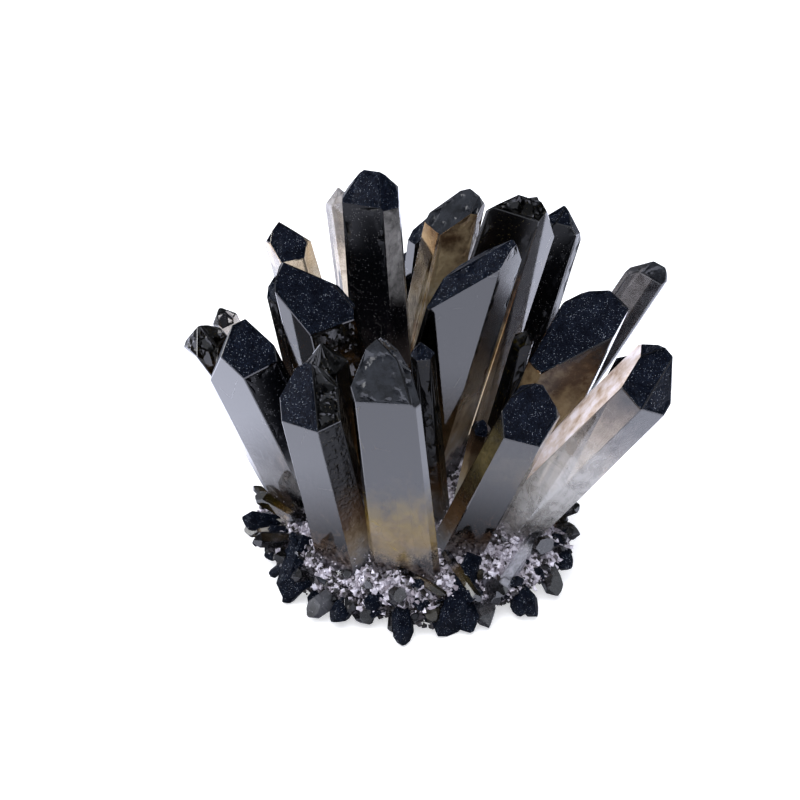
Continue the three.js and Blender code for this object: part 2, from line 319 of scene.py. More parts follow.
# %% Colours along a crystal
CLOUD_SIZE = 6 * MM
FOOT_SHARE = 0.22
AMBER_SMOKE = ((0.0, "f0ece4"), (0.3, "d2b482"), (0.6, "66492a"), (0.8, "17110c"), (1.0, "040506"))
GREY_SMOKE = ((0.0, "f1f2f7"), (0.35, "b5b8c2"), (0.6, "555963"), (0.8, "12151e"), (1.0, "03050b"))
NUMBERS = ("rise", "line", "clear", "dark", "warm", "root", "veil", "veil_at", "veil_span", "patchy")

TIMES = {"operation": "MULTIPLY"}
MINUS = {"operation": "SUBTRACT"}
TIMES_PLUS = {"operation": "MULTIPLY_ADD"}
SMOOTH = {"interpolation_type": "SMOOTHSTEP"}
COLOURS = {"data_type": "RGBA"}


def smoke(tree, place, read):
    """The clouds, the stirred height along the crystal, and the smoke's colour with painted shade at the
    foot.
    """
    clouds = node(tree, "TexNoise", Vector=place, Scale=1 / CLOUD_SIZE, Detail=4, Roughness=0.6)
    stir = node(tree, "Math", MINUS, i0=clouds, i1=0.5)
    height = node(tree, "Math", TIMES_PLUS, i0=stir, i1=read["patchy"], i2=read["rise"])
    tip = node(tree, "MapRange", SMOOTH, Value=height, From_Min=read["clear"], From_Max=read["dark"])
    # The foot is darkened again by painted shade, as deep as the crystal's root number says.
    foot = node(tree, "MapRange", SMOOTH, Value=height, From_Min=FOOT_SHARE, From_Max=0.0)
    painted_foot_shade = node(tree, "Math", TIMES, i0=foot, i1=read["root"])
    depth = node(tree, "Math", {"operation": "MAXIMUM"}, i0=tip, i1=painted_foot_shade)
    amber = node(tree, "ValToRGB", stops=AMBER_SMOKE, Fac=depth)
    grey = node(tree, "ValToRGB", stops=GREY_SMOKE, Fac=depth)
    off_foot = node(tree, "Math", MINUS, i0=1.0, i1=foot)
    warmth = node(tree, "Math", TIMES, i0=read["warm"], i1=off_foot)
    colour = node(tree, "Mix", COLOURS, Factor=warmth, i6=grey, i7=amber).outputs[2]
    return clouds, height, colour


print("smoke in", len(AMBER_SMOKE), "steps from clear to black")

# %% [markdown]
# ## Veils, cracks and specks
# Milky veils are planes of tiny bubbles that were sealed in as the crystal grew. Healed cracks are thin
# bright sheets, and specks are single bubbles and grains near the surface, which on etched and broken
# faces are also painted sparkle. Modelling them as meshes inside each crystal would take millions of
# faces. Under a face they only scatter light that would have gone through, so one number says how milky a
# place is, and the material is whiter and lets less light through there.

# %% How milky a place is
WISP_SIZE = 5 * MM
CRACK_SPACING = 11 * MM
CROWD_SIZE = 3 * MM
SPECK = 0.3 * MM


def specks_and_painted_glints(tree, place, grain, fewest, most):
    """Small bright spots in cells a grain apart, more in some places: specks, and on the druse painted
    glints.
    """
    cells = node(tree, "TexVoronoi", Vector=place, Scale=1 / grain)
    number = node(tree, "TexWhiteNoise", Vector=cells.outputs["Position"])
    crowd = node(tree, "TexNoise", Vector=place, Scale=1 / CROWD_SIZE, Detail=3)
    often = node(tree, "Math", TIMES_PLUS, i0=crowd, i1=0.35, i2=number)
    chosen = node(tree, "MapRange", Value=often, From_Min=fewest, From_Max=most)
    core = node(tree, "Math", {"operation": "LESS_THAN"}, i0=cells, i1=0.3)
    return node(tree, "Math", TIMES, i0=chosen, i1=core)


def milk_and_painted_sparkle(tree, place, read, clouds, height, wisps, cracked, specks_and_sparkle):
    """Wisps round the height of the veil, cracks where it is cloudy, and specks with painted sparkle, 0 to
    1.
    """
    off = node(tree, "Math", MINUS, i0=height, i1=read["veil_at"])
    off = node(tree, "Math", {"operation": "ABSOLUTE"}, i0=off)
    off = node(tree, "Math", {"operation": "DIVIDE"}, i0=off, i1=read["veil_span"])
    near = node(tree, "MapRange", SMOOTH, Value=off, From_Min=1.0, From_Max=0.0)
    wispy = node(tree, "MapRange", SMOOTH, Value=wisps, From_Min=0.3, From_Max=0.62, To_Min=0.45)
    veil = node(tree, "Math", TIMES, i0=near, i1=wispy)
    veil = node(tree, "Math", TIMES, i0=veil, i1=read["veil"])

    edges = node(tree, "TexVoronoi", {"feature": "DISTANCE_TO_EDGE"}, Vector=place,
                 Scale=1 / CRACK_SPACING)
    sheet = node(tree, "MapRange", SMOOTH, Value=edges.outputs["Distance"], From_Min=0.02, From_Max=0.0)
    cloudy = node(tree, "MapRange", SMOOTH, Value=clouds, From_Min=0.52, From_Max=0.62)
    crack = node(tree, "Math", TIMES, i0=sheet, i1=cloudy)
    veil = node(tree, "Math", TIMES_PLUS, i0=crack, i1=cracked, i2=veil)

    # Specks are pale spots for bubbles and grains, and on etched and broken faces also painted sparkle.
    speck_and_sparkle_spots = specks_and_painted_glints(tree, place, SPECK, 1.0, 1.2)
    return node(tree, "Math", {**TIMES_PLUS, "use_clamp": True}, i0=speck_and_sparkle_spots, i1=specks_and_sparkle, i2=veil)


print("wisps about", round(WISP_SIZE / MM), "mm long, cracks", round(CRACK_SPACING / MM), "mm apart")

# %% [markdown]
# ## Smoky quartz
# The IOR of quartz is 1.544, and natural growth faces are as bright as polished ones: the eye gets a
# sharp mirror image of the studio over a deep body. Growth leaves faint level lines across the side
# faces, which a stretched noise lifts by a few microns.
#
# Not every face stayed bright. Etched faces were bitten by hot brine, and broken ones split in curved
# shells. Both look darker and softer, because light that goes in scatters and is lost in the smoke. They
# use the same recipe with less light let through, a darker body, and hardly any mirror image.

# %% The quartz materials
GROWTH_LINE = 0.9 * MM
ABSORPTION = 110.0


def smoky_quartz(name, see_through, body, specular_level, least_roughness, specks_and_sparkle):
    """Clear to black along the crystal, with veils, painted shade and painted glow, by the mesh's numbers.
    """
    made, tree, place = material(name)
    read = {key: node(tree, "Attribute", {"attribute_name": key}).outputs["Fac"] for key in NUMBERS}
    clouds, height, tint = smoke(tree, place, read)
    tint = node(tree, "Mix", {**COLOURS, "blend_type": "MULTIPLY"}, Factor=1.0, i6=tint,
                i7=(body, body, body, 1.0)).outputs[2]
    wisps = node(tree, "TexNoise", Vector=place, Scale=1 / WISP_SIZE, Detail=5, Roughness=0.65,
                 Distortion=1.2)
    milk_and_sparkle = milk_and_painted_sparkle(tree, place, read, clouds, height, wisps, 0.25 * see_through, specks_and_sparkle)
    # Cool milk is the veils' own white; warm olive milk is partly painted glow of light from behind.
    milk_and_painted_glow = node(tree, "Mix", COLOURS, Factor=read["warm"], i6=linear("c9cad6"),
                i7=linear("74620f")).outputs[2]
    colour = node(tree, "Mix", COLOURS, Factor=milk_and_sparkle, i6=tint, i7=milk_and_painted_glow).outputs[2]

    lines = node(tree, "CombineXYZ", X=read["line"])
    growth = node(tree, "TexNoise", Vector=lines, Scale=1 / GROWTH_LINE, Detail=3, Roughness=0.7)
    relief = node(tree, "Bump", Height=growth, Strength=0.12, Distance=0.02 * MM)
    roughness = node(tree, "Math", TIMES_PLUS, i0=wisps, i1=0.1, i2=least_roughness)
    passed = node(tree, "Math", TIMES_PLUS, i0=milk_and_sparkle, i1=-0.8 * see_through, i2=see_through)
    shader = node(tree, "BsdfPrincipled", Base_Color=colour, Roughness=roughness, IOR=1.544,
                  Specular_IOR_Level=specular_level, Transmission_Weight=passed, Normal=relief)
    depth = node(tree, "VolumeAbsorption", Color=linear("b39e78"), Density=ABSORPTION)
    node(tree, "OutputMaterial", Surface=shader, Volume=depth)
    return made


# Natural growth faces: mirror bright and see-through.
quartz = smoky_quartz("smoky quartz, natural growth faces", see_through=1.0, body=1.0, specular_level=0.5,
                      least_roughness=0.0, specks_and_sparkle=0.0)
# Faces etched by brine: satin and dark, with fine specks that are partly painted sparkle.
etched = smoky_quartz("smoky quartz, etched faces", see_through=0.12, body=0.35, specular_level=0.07,
                      least_roughness=0.2, specks_and_sparkle=0.3)
# Faces broken in shells: dark glass with warm glints from inside, and specks of painted sparkle.
shattered = smoky_quartz("smoky quartz, broken faces", see_through=0.4, body=0.45, specular_level=0.25,
                         least_roughness=0.1, specks_and_sparkle=0.4)
print("quartz of", len(quartz.node_tree.nodes), "nodes in three finishes")

# %% [markdown]
# ## Black tips and their druse
# Full smoke, called morion, lets no light through, so a black tip needs no transmission. Some end faces
# are as smooth as glass. Others are covered with a skin of much smaller crystals, a druse: each tiny face
# tilts its own way, so the black skin sparkles with points of light. Its grains are about a fifth of a
# millimetre, a little less than one pixel of the photograph. Thousands of small triangles in the mesh
# give the broader unevenness, and cells with a relief of their own stand for the grains. The points of
# light are painted glints: white spots in the colour of a few cells.

# %% Druse
DRUSE_GRAIN = 0.2 * MM
DRUSE_PATCH = 3 * MM


def druse():
    """Blue-black, each grain in its own tone, with painted glints where tiny faces would catch the light.
    """
    made, tree, place = material("druse, a skin of tiny black quartz")
    cells = node(tree, "TexVoronoi", Vector=place, Scale=1 / DRUSE_GRAIN)
    relief = node(tree, "Bump", Height=cells, Strength=0.5, Distance=0.05 * MM)
    patches = node(tree, "TexNoise", Vector=place, Scale=1 / DRUSE_PATCH, Detail=3)
    grain = node(tree, "TexWhiteNoise", Vector=cells.outputs["Position"])
    shade = node(tree, "Math", TIMES, i0=patches, i1=grain)
    black = node(tree, "ValToRGB", stops=((0.1, "020308"), (0.6, "141a26")), Fac=shade)
    # The glints are painted highlights: some cells are mixed to a pale grey in the colour.
    colour = node(tree, "Mix", COLOURS, Factor=specks_and_painted_glints(tree, place, DRUSE_GRAIN, 1.05, 1.25), i6=black,
                  i7=linear("c0c5ce")).outputs[2]
    shader = node(tree, "BsdfPrincipled", Base_Color=colour, Roughness=0.4, IOR=1.544,
                  Specular_IOR_Level=0.035, Normal=relief)
    node(tree, "OutputMaterial", Surface=shader)
    return made


druse_skin = druse()
print("druse of", DRUSE_GRAIN / MM, "mm grains")

# %% [markdown]
# ## Smooth black and frosted white
# Morion with bare faces looks like black glass, a little mottled where the smoke is uneven. At the other
# end of the range, one face of the large crystal at the right is milk white with a rosy breath: the
# quartz behind it is full of bubbles, and the face was etched to frost, so it glows instead of mirroring.

# %% Morion and milky quartz
def morion():
    """Smooth black quartz, faintly mottled where the smoke is uneven."""
    made, tree, place = material("morion, smooth black quartz")
    clouds = node(tree, "TexNoise", Vector=place, Scale=1 / (4 * MM), Detail=5, Roughness=0.7)
    colour = node(tree, "ValToRGB", stops=((0.35, "08090c"), (0.6, "1e2025")), Fac=clouds)
    roughness = node(tree, "Math", TIMES, i0=clouds, i1=0.3)
    relief = node(tree, "Bump", Height=clouds, Strength=0.15, Distance=0.1 * MM)
    shader = node(tree, "BsdfPrincipled", Base_Color=colour, Roughness=roughness, IOR=1.544,
                  Specular_IOR_Level=0.3, Normal=relief)
    node(tree, "OutputMaterial", Surface=shader)
    return made


def milky_quartz():
    """White and rosy quartz full of tiny bubbles, under a face that was etched to frost."""
    made, tree, place = material("milky quartz, frosted face")
    clouds = node(tree, "TexNoise", Vector=place, Scale=1 / (5 * MM), Detail=5, Roughness=0.65)
    rosy = ((0.32, "8f6d4a"), (0.46, "cbb9b0"), (0.62, "ece4ec"))
    colour = node(tree, "ValToRGB", stops=rosy, Fac=clouds)
    relief = node(tree, "Bump", Height=clouds, Strength=0.3, Distance=0.1 * MM)
    shader = node(tree, "BsdfPrincipled", Base_Color=colour, Roughness=0.3, IOR=1.544,
                  Transmission_Weight=0.3, Normal=relief)
    node(tree, "OutputMaterial", Surface=shader)
    return made


black_glass, milk_skin = morion(), milky_quartz()
print("made", black_glass.name, "and", milk_skin.name)

# %% [markdown]
# ## Each crystal's own looks
# clear and dark are the shares of the length where the smoke begins and is full. Where clear is below 0,
# the crystal is smoky down to its root. warm is how amber the smoke is, patchy how far the clouds stir
# it, and root how much painted shade darkens the quartz again at its foot. veil, veil_at and veil_span
# are the strength, place and reach of its milky zone, where warm milk is partly painted glow.
#
# cap says what covers the end faces: a druse, a break, a jagged break, smooth black or clear quartz. ends
# and sides name single faces with another finish, by the range of directions that they look in: 0 is the
# front and 90 the right, in degrees. Rough faces are broken in small facets, dull ones etched, veiled ones
# etched with milk under them, and frosted ones milk white.

# %% Looks by crystal
ALL_ROUND = (-180, 180)
PLAIN = {"clear": 0.15, "dark": 0.85, "warm": 0.6, "root": 0.4, "patchy": 0.3, "veil": 0.0,
         "veil_at": 0.2, "veil_span": 0.25, "cap": "druse", "ends": {}, "sides": {}}
LOOKS = {
    # Its warm veil is partly painted glow, for light that comes through the crystal from behind.
    "crystal_front_centre": {"clear": -0.15, "dark": 0.62, "warm": 1.0, "root": 0.55, "cap": "black",
                             "veil": 0.75, "veil_at": 0.28, "veil_span": 0.22},
    "crystal_front_left": {"clear": -0.5, "dark": 0.9, "warm": 0.8, "root": 0.6,
                           "ends": {(0, 120): "broken"}, "sides": {(10, 100): "rough"}},
    "crystal_front_right": {"clear": -0.9, "dark": 1.0, "warm": 0.9, "root": 0.3, "veil": 0.3,
                            "veil_at": 0.6, "sides": {(-80, -30): "rough"}},
    "crystal_far_right": {"clear": 0.3, "dark": 1.05, "warm": 0.3, "root": 0.1, "veil": 0.6,
                          "veil_at": 0.35, "veil_span": 0.45, "sides": {(-100, -90): "frosted"}},
    "crystal_left": {"clear": 0.0, "dark": 0.7, "warm": 0.1, "root": 1.0, "veil": 0.15, "veil_at": 0.25,
                     "veil_span": 0.15, "sides": {(0, 100): "dull"}},
    "crystal_far_left": {"clear": 0.0, "dark": 1.1, "warm": 1.0, "patchy": 0.8, "cap": "jagged",
                         "sides": {(0, 80): "rough"}},
    "crystal_mid_right": {"clear": 0.0, "dark": 0.7, "warm": 0.8, "root": 1.0,
                          "sides": {(-80, -20): "dull", (20, 80): "dull"}},
    "crystal_mid_left": {"clear": -0.1, "dark": 0.9, "warm": 1.0, "patchy": 0.9,
                         "sides": {(0, 60): "broken"}},
    "crystal_upper_left": {"clear": 0.65, "dark": 1.6, "warm": 0.8, "patchy": 0.6, "veil": 0.3,
                           "veil_at": 0.8},
    "crystal_upper_right": {"clear": 0.1, "dark": 1.0, "warm": 0.9, "patchy": 0.6, "cap": "jagged",
                            "sides": {(-80, 0): "dull"}},
    "crystal_right": {"clear": 0.0, "dark": 1.2, "warm": 0.9, "patchy": 0.6, "sides": {(-80, 20): "dull"}},
    "crystal_right_behind": {"clear": -0.6, "dark": 1.1, "warm": 0.0, "cap": "clear",
                             "ends": {(0, 120): "black"}, "veil": 0.3, "veil_at": 0.8, "veil_span": 0.5},
    "crystal_tall": {"clear": -0.2, "dark": 0.8, "warm": 0.4, "veil_at": 0.78, "veil_span": 0.22,
                     "sides": {(-180, 20): "dull", (20, 40): "veiled", (40, 180): "dull"}},
    "crystal_slender": {"clear": 0.3, "dark": 1.6, "warm": 0.35, "patchy": 0.7, "cap": "clear",
                        "veil": 0.8, "veil_at": 0.95, "veil_span": 0.35},
    "crystal_small_left": {"clear": 0.4, "dark": 1.6, "warm": 0.1, "cap": "clear"},
    "crystal_back_right": {"clear": 0.2, "dark": 1.5, "warm": 0.85, "patchy": 0.9, "cap": "black",
                           "veil": 0.3, "veil_at": 0.6, "sides": {(-20, 180): "dull"}},
    "crystal_back_far_right": {"clear": -0.5, "dark": 0.7, "warm": 0.4, "sides": {ALL_ROUND: "dull"}},
    "crystal_behind_tall": {"clear": 0.1, "dark": 0.9, "sides": {(-20, 180): "dull"}},
    "crystal_behind_left": {"clear": -0.2, "dark": 0.9, "sides": {ALL_ROUND: "dull"}},
    "crystal_brown": {"clear": -0.2, "dark": 1.0, "warm": 1.0, "patchy": 0.8, "cap": "broken",
                      "sides": {ALL_ROUND: "dull"}},
    "crystal_red_brown": {"clear": -0.6, "dark": 0.75, "warm": 1.0, "cap": "broken",
                          "sides": {ALL_ROUND: "dull"}},
    "crystal_dark_middle": {"clear": -0.5, "dark": 0.7, "warm": 0.9, "sides": {ALL_ROUND: "dull"}},
    "crystal_small_clear": {"clear": 0.0, "dark": 1.3, "warm": 0.8, "sides": {ALL_ROUND: "dull"}},
}
print("crystals with looks of their own:", len(LOOKS))

# %% [markdown]
# ## Swapping a face for many small ones
# A druse or a break isn't flat. A displacement modifier would also move the edges of the face and open
# gaps, so the face is swapped for a few hundred small triangles with the same outline, which still close
# the crystal, and only their inner points are moved. Delaunay triangulation joins scattered points into
# well-shaped triangles, which look more like grains than a regular grid would.

# %% Swap a flat face for many small ones
def edge_gaps(points, outline):
    """Each point's distance to the nearest edge of a flat outline, and whether it is inside."""
    start, end = outline, np.roll(outline, -1, 0)
    run = end - start
    share = np.clip(((points[:, None] - start) * run).sum(2) / (run ** 2).sum(1), 0, 1)
    gap = np.linalg.norm(points[:, None] - (start + share[..., None] * run), axis=2).min(1)
    crossing = (start[:, 1] > points[:, None, 1]) != (end[:, 1] > points[:, None, 1])
    where = start[:, 0] + (points[:, None, 1] - start[:, 1]) / (run[:, 1] + 1e-12) * run[:, 0]
    inside = (crossing & (points[:, None, 0] < where)).sum(1) % 2 == 1
    return gap, inside


def scattered_inside(outline, spacing, rng):
    """Points about a spacing apart inside a flat outline, none nearer its edges than half a spacing."""
    low, high = outline.min(0), outline.max(0)
    row_step = spacing * math.sin(math.radians(60))
    columns, rows = np.arange(low[0], high[0], spacing), np.arange(low[1], high[1], row_step)
    xs, ys = np.meshgrid(columns, rows)
    xs[1::2] += spacing / 2
    points = np.stack([xs.ravel(), ys.ravel()], 1)
    points += rng.uniform(-0.3, 0.3, points.shape) * spacing
    gap, inside = edge_gaps(points, outline)
    keep = inside & (gap > spacing / 2)
    return points[keep], gap[keep]


def divide(bm, face, spacing, rng, relief):
    """Swaps a face for small triangles. relief(point, gap to the edge) moves a point along the normal."""
    normal, centre = face.normal.copy(), face.calc_center_median()
    across = normal.orthogonal().normalized()
    along = normal.cross(across)
    rim = list(face.verts)
    outline = np.array([[(v.co - centre).dot(across), (v.co - centre).dot(along)] for v in rim])
    points, gaps = scattered_inside(outline, spacing, rng)
    if not len(points):
        return []
    everything = [Vector(p) for p in outline] + [Vector(p) for p in points]
    _, _, triangles, came_from, _, _ = delaunay_2d_cdt(everything, [], [list(range(len(rim)))], 1, 1e-9)
    if any(not origins for origins in came_from):
        return []
    made = []
    for p, gap in zip(points, gaps):
        place = centre + across * p[0] + along * p[1]
        made.append(bm.verts.new(place + normal * relief(place, gap)))
    corners = [(rim + made)[origins[0]] for origins in came_from]
    bm.faces.remove(face)
    return [bm.faces.new([corners[i] for i in triangle]) for triangle in triangles]


unit_square = np.array([[0.0, 0.0], [1.0, 0.0], [1.0, 1.0], [0.0, 1.0]])
sample_points, _ = scattered_inside(unit_square, 0.1, np.random.default_rng(0))
print("a square of ten by ten spacings takes", len(sample_points), "points")

# %% [markdown]
# ## Three kinds of relief
# A break in quartz is made of shell-like facets, each at its own tilt. Voronoi cells with a random slope
# each give that look, where plain noise would give soft dunes. A smooth face keeps flat and is only
# chipped near its edges. A druse face is chipped too, and its grains stand out by a few hundredths of a
# millimetre.

# %% Reliefs
CHIP_SIZE = 2.2 * MM
BREAK_EDGE = 0.8 * MM


def shattered_relief(size, depth, sunk=0.6):
    """Facets about a size across, each tilted its own way, which go in by a share of a depth."""
    def relief(place, gap):
        feature = noise.voronoi(place / size)[1][0]
        tilt = 2 * noise.cell_vector(feature * 7.3) - Vector((1, 1, 1))
        slope = (place / size - feature).dot(tilt)
        return min(1, gap / BREAK_EDGE) * depth * (slope + 0.4 * tilt.x - sunk)
    return relief


def chipped_relief(reach, depth):
    """Flat in the middle of the face, and chipped here and there within a reach of its edges."""
    def relief(place, gap):
        return -depth * max(0, noise.noise(place / CHIP_SIZE) - 0.1) * max(0, 1 - gap / reach)
    return relief


def druse_relief(rng):
    """Grains that stand out by a few hundredths, over a face that is chipped at its edges."""
    chips = chipped_relief(3 * MM, 1.8 * MM)
    return lambda place, gap: chips(place, gap) + rng.uniform(-0.04, 0.03) * MM


deepest = min(shattered_relief(2.6 * MM, 0.8 * MM)(Vector((x, 0, 0)) * MM, MM) for x in range(40))
print("a break goes in by up to", round(-deepest / MM, 1), "mm")

# %% [markdown]
# ## The crystals
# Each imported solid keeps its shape. Its edges get a bevel of about a fifth of a millimetre, because no
# natural edge is perfectly sharp and the thin bevels catch the light, and its faces get their druse,
# break or etching. End faces are told from side faces by their lean: on quartz it is always 51.8 degrees
# from the long axis.

# %% Finishes of the faces
EDGE_WEAR = 0.18 * MM
END_FACE_ANGLE = math.radians(51.8)
# How far the cosine of a face's lean may be from that of an end face or a side face.
END_FACE_SLACK, SIDE_FACE_SLACK = 0.03, 0.1
MIN_END_AREA = 2 * MM * MM
MIN_SIDE_AREA = 6 * MM * MM
ROOT_IN_THE_ROCK = 4 * MM
VEIL_OF_A_FACE = 0.6

CRYSTAL_LOOKS = [quartz, druse_skin, black_glass, etched, shattered, milk_skin, etched]
QUARTZ, DRUSE, BLACK, ETCHED, SHATTERED, MILKY, VEILED = range(len(CRYSTAL_LOOKS))
FINISHES = {
    "druse": (0.5 * MM, DRUSE),
    "broken": (0.6 * MM, SHATTERED),
    "jagged": (0.6 * MM, SHATTERED),
    "rough": (0.5 * MM, ETCHED),
    "black": (0.6 * MM, BLACK),
    "clear": (0.7 * MM, QUARTZ),
    "dull": (1.0 * MM, ETCHED),
    "frosted": (1.0 * MM, MILKY),
    "veiled": (1.0 * MM, VEILED),
}
WORN = chipped_relief(2 * MM, 1.6 * MM)
RELIEFS = {
    "broken": shattered_relief(2.6 * MM, 0.8 * MM),
    "jagged": shattered_relief(3.4 * MM, 1.6 * MM, 0.2),
    "rough": shattered_relief(1.1 * MM, 0.12 * MM),
    "black": chipped_relief(3 * MM, 2.6 * MM),
}


def finish(bm, face, kind, rng):
    """Gives one face the relief and the material of its kind."""
    spacing, look = FINISHES[kind]
    relief = druse_relief(rng) if kind == "druse" else RELIEFS.get(kind, WORN)
    face.material_index = look
    for small in divide(bm, face, spacing, rng, relief):
        small.material_index = look


def kind_by_direction(face, kinds, otherwise):
    """The kind of finish that a face has from the way it looks, in degrees from the front to the right."""
    way = math.degrees(math.atan2(face.normal.x, -face.normal.y))
    for (low_way, high_way), kind in kinds.items():
        if low_way < way < high_way:
            return kind
    return otherwise


print("kinds of face:", ", ".join(FINISHES))

# %% [markdown]
# ## One crystal at a time
# The faces that need a finish are picked while they are still whole. Then each is swapped for its small
# triangles, and last the mesh gets the numbers that the smoke is read from. The lowest few millimetres of
# a crystal are in the rock, so the smoke is measured from above them.

# %% Make the crystals
def finished_faces(bm, axis, looks):
    """The end and side faces that need a finish, each with its kind."""
    lean = math.cos(END_FACE_ANGLE)
    ends = [f for f in bm.faces
            if abs(f.normal.dot(axis) - lean) < END_FACE_SLACK and f.calc_area() > MIN_END_AREA]
    sides = [f for f in bm.faces
             if abs(f.normal.dot(axis)) < SIDE_FACE_SLACK and f.calc_area() > MIN_SIDE_AREA]
    kinds = [(f, kind_by_direction(f, looks["ends"], looks["cap"])) for f in ends]
    kinds += [(f, kind_by_direction(f, looks["sides"], None)) for f in sides]
    return [(f, kind) for f, kind in kinds if kind]


def give_looks(mesh, axis, low, high, looks):
    """Stores the numbers that the quartz material reads."""
    along = np.array([v.co.dot(axis) for v in mesh.vertices])
    give(mesh, "rise", (along - low) / (high - low))
    give(mesh, "line", along)
    for key in ("clear", "dark", "warm", "root", "veil_at", "veil_span", "patchy"):
        give(mesh, key, np.full(len(along), looks[key]))
    veil = np.full(len(along), looks["veil"])
    for face in mesh.polygons:
        if face.material_index == VEILED:
            veil[list(face.vertices)] = VEIL_OF_A_FACE
    give(mesh, "veil", veil)


def crystal(name, number):
    """A crystal's dressed mesh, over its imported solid."""
    looks = {**PLAIN, **LOOKS.get(name, {})}
    rng = np.random.default_rng(number)
    bm = solid_of(name)
    axis = axis_of(bm)
    heights = [v.co.dot(axis) for v in bm.verts]
    low, high = min(heights) + ROOT_IN_THE_ROCK, max(heights)
    bmesh.ops.bevel(bm, geom=bm.edges[:], offset=EDGE_WEAR, segments=1, affect="EDGES",
                    clamp_overlap=True)
    bm.normal_update()
    for face, kind in finished_faces(bm, axis, looks):
        finish(bm, face, kind, rng)
    bmesh.ops.holes_fill(bm, edges=[e for e in bm.edges if e.is_boundary])
    bm.normal_update()
    mesh = bpy.data.meshes.new(name)
    bm.to_mesh(mesh)
    bm.free()
    give_looks(mesh, axis, low, high, looks)
    return piece(name + "_quartz", mesh, CRYSTAL_LOOKS, "smoky_quartz", name)


crystals = [crystal(name, number) for number, name in enumerate(CRYSTALS)]
print("crystals:", len(crystals), "faces:", sum(len(c.data.polygons) for c in crystals))

# %% [markdown]
# ## Many small solids in one mesh
# Grains and young crystals come by the hundred. Each is a small closed solid, and joining their corners
# and faces as plain arrays is much quicker than joining objects, and leaves one mesh that exports as it
# is. Their sizes and leans are drawn from a range with a number between 0 and 1 that is the same on every
# run.

# %% Join small solids
def joined(name, solids, **numbers):
    """One mesh of many (corners, faces) solids. Each number is a list of values, one entry per solid."""
    sizes = [len(corners) for corners, _ in solids]
    starts = np.concatenate([[0], np.cumsum(sizes)[:-1]])
    corners = np.concatenate([c for c, _ in solids])
    faces = [[int(start) + v for v in face] for start, (_, own) in zip(starts, solids) for face in own]
    mesh = bpy.data.meshes.new(name)
    mesh.from_pydata(corners.tolist(), [], faces)
    for key, values in numbers.items():
        give(mesh, key, np.concatenate([np.broadcast_to(v, n) for v, n in zip(values, sizes)]))
    return mesh


def scatter(i, k):
    """A repeatable number between 0 and 1 for the i-th of many things, in a new series for each k."""
    s = math.sin(i * 12.9898 + k * 78.233) * 43758.5453
    return s - math.floor(s)


def between(low_high, share):
    """The number at a share of the way from the low one to the high one."""
    return low_high[0] + (low_high[1] - low_high[0]) * share


print("the first repeatable numbers:", [round(scatter(i, 0), 2) for i in range(4)])

# %% [markdown]
# ## Quartz by its planes
# A crystal is what is left inside its faces. The young crystals are made that way: six sides, six end
# faces that always lean by the same angle, and a cut across the root. Three planes meet in a corner, and
# the convex hull of the corners that no other plane cuts off is the crystal.

# %% A crystal from a foot, a tip and its face distances
FRONT = Vector((0, -1, 0))
SAME_POINT = 0.001 * MM
SAME_PLANE = math.radians(0.5)


def quartz_planes(foot, tip, turn, sides, ends, root):
    """A six-sided crystal's planes as (normal, distance). ends is how far each end face is set back."""
    axis = (tip - foot).normalized()
    first = (FRONT - axis * FRONT.dot(axis)).normalized()
    outward = [Matrix.Rotation(turn + i * math.pi / 3, 3, axis) @ first for i in range(6)]
    planes = [(n, n.dot(foot) + side) for n, side in zip(outward, sides)]
    for n, end in zip(outward, ends):
        lean = axis * math.cos(END_FACE_ANGLE) + n * math.sin(END_FACE_ANGLE)
        planes.append((lean, lean.dot(tip - axis * end)))
    planes.append((-axis, -axis.dot(foot - axis * root)))
    return planes


def corners_of(planes):
    """The points where three planes meet and that no other plane cuts off."""
    normals = np.array([n for n, _ in planes])
    reach = np.array([d for _, d in planes])
    index = np.array(list(combinations(range(len(planes)), 3)))
    trio = normals[index]
    solvable = np.abs(np.linalg.det(trio)) > 1e-6
    corners = np.linalg.solve(trio[solvable], reach[index[solvable]][..., None])[..., 0]
    inside = (corners @ normals.T <= reach + 1e-9).all(1)
    return [Vector(c) for c in corners[inside]]


def solid_hull(corners, wear):
    """The convex hull of some points as (corners, faces), with worn edges."""
    bm = bmesh.new()
    for corner in corners:
        bm.verts.new(corner)
    bmesh.ops.remove_doubles(bm, verts=bm.verts, dist=SAME_POINT)
    bmesh.ops.convex_hull(bm, input=bm.verts, use_existing_faces=False)
    bmesh.ops.delete(bm, geom=[v for v in bm.verts if not v.link_faces], context="VERTS")
    if wear:
        bmesh.ops.dissolve_limit(bm, angle_limit=SAME_PLANE, verts=bm.verts, edges=bm.edges)
        bmesh.ops.bevel(bm, geom=bm.edges[:], offset=wear, segments=1, affect="EDGES",
                        clamp_overlap=True)
    bm.verts.index_update()
    made = np.array([v.co for v in bm.verts]), [[v.index for v in f.verts] for f in bm.faces]
    bm.free()
    return made


sample = quartz_planes(Vector((0, 0, 0)), Vector((0, 0, 10 * MM)), 0, [2 * MM] * 6, [0] * 6, 0)
print("a plain young crystal has", len(solid_hull(corners_of(sample), 0)[0]), "corners")

# %% [markdown]
# ## The rock
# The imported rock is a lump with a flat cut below. The looks need a finer one of the same size, so it is
# made by the same rule, a ball stretched to the outline, with more points and with the crumbly relief of
# the crust.

# %% Make the rock
ROCK = {"x": 1, "y": -1.5, "half_width": 39, "half_depth": 37.5, "rim": 6, "crown": 13, "underside": 12}
CROWN_ROUNDNESS = 0.8
LUMP_HEIGHT = 1.2
MOUND = {"x": -3, "y": -37, "radius": 9, "height": 5}
CRUMB_HEIGHT = 1.3
CRUMB_SIZE = 2.5
ROCK_SUBDIVISIONS = 7


